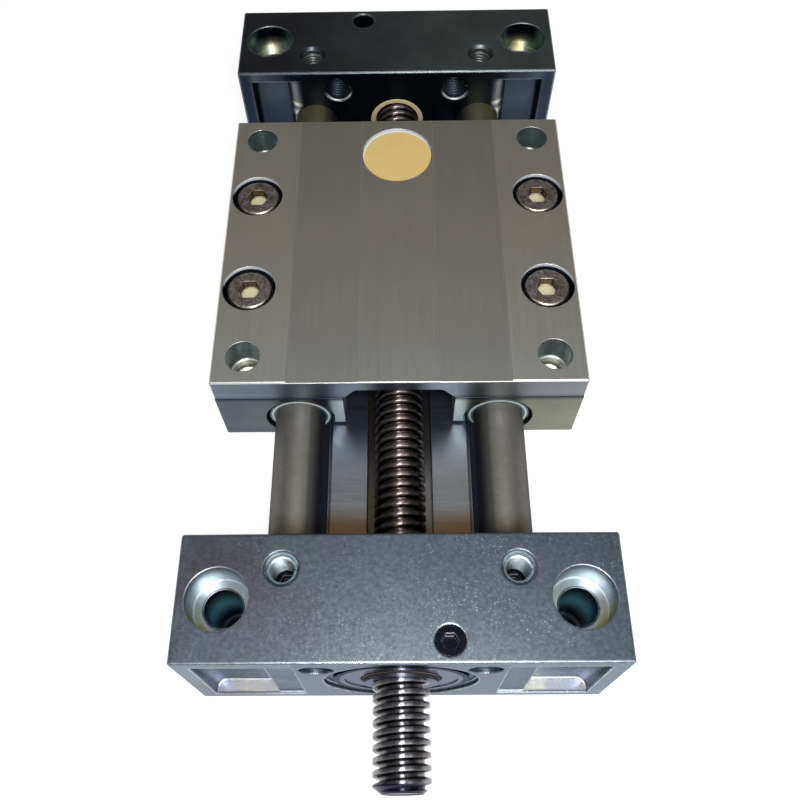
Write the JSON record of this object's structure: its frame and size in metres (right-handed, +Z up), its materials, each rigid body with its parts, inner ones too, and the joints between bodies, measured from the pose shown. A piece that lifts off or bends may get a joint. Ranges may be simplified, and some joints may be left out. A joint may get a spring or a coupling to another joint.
{
  "type": "lead screw linear stage",
  "caption": "Low stage with a flat carriage that a lead screw drives along round guide shafts held between rectangular end blocks.",
  "frame": {"origin": "on the plane of the end blocks' undersides, midway between the two blocks and between the two shafts", "axes": "+Z up from the mounting plane, +Y along the shafts away from the screw's free end, +X across the shafts"},
  "size_m": [0.15, 0.3518, 0.058],
  "materials": {
    "zinc_block": "blue zinc plated, satin with a fine spangle",
    "shaft_metal": "hard anodised dark grey, satin",
    "channel_metal": "brushed across its length",
    "screw_steel": "dark oiled steel, glossy",
    "bearing_steel": "pale ground steel",
    "bearing_hub": "ground steel with a brown oil film",
    "snap_ring_steel": "dark spring steel",
    "bush_polymer": "yellow-tan bearing polymer",
    "liner_polymer": "pale grey-green bearing polymer",
    "grub_steel": "black oxide",
    "fastener_zinc": "zinc plated",
    "plate_metal": "warm grey anodised, satin",
    "housing_zinc": "zinc plated with a faint yellow tint",
    "nut_block_metal": "milled",
    "nut_bronze": "bronze, machined",
    "disc_yellow": "plain yellow disc"
  },
  "bodies": {
    "base": {"front_end_block": "zinc_block", "rear_end_block": "zinc_block", "left_guide_shaft": "shaft_metal", "right_guide_shaft": "shaft_metal", "base_channel": "channel_metal", "base_channel_screws": "fastener_zinc", "front_bearing_outer_ring": "bearing_steel", "rear_bearing_outer_ring": "bearing_steel", "front_screw_bush": "bush_polymer", "rear_screw_bush": "bush_polymer", "front_shaft_clamp_screws": "grub_steel", "rear_shaft_clamp_screws": "grub_steel", "front_bearing_lock_screw": "grub_steel", "rear_bearing_lock_screw": "grub_steel"},
    "screw": {"lead_screw": "screw_steel", "front_bearing_inner_ring": "bearing_hub", "rear_bearing_inner_ring": "bearing_hub", "front_snap_rings": "snap_ring_steel", "rear_journal_sleeve": "screw_steel"},
    "carriage": {"carriage_plate": "plate_metal", "left_bearing_housing": "housing_zinc", "right_bearing_housing": "housing_zinc", "front_left_liner": "liner_polymer", "front_right_liner": "liner_polymer", "rear_left_liner": "liner_polymer", "rear_right_liner": "liner_polymer", "housing_screws": "fastener_zinc", "nut_block": "nut_block_metal", "nut_block_screws": "fastener_zinc", "screw_nut": "nut_bronze", "nut_flange_screws": "fastener_zinc", "marker_disc": "disc_yellow"}
  },
  "joints": [
    {"name": "carriage_slide", "type": "slide", "parent": "base", "child": "carriage", "axis": [0, 1, 0], "range_m": [-0.0588, 0.0298]},
    {"name": "screw_spin", "type": "hinge", "parent": "base", "child": "screw", "pos_m": [0, 0, 0.029], "axis": [0, 1, 0], "range_deg": [-2683, 5293]}
  ],
  "couplings": [
    {"joint": "screw_spin", "follows": "carriage_slide", "rad_per_m": -1570.8}
  ]
}
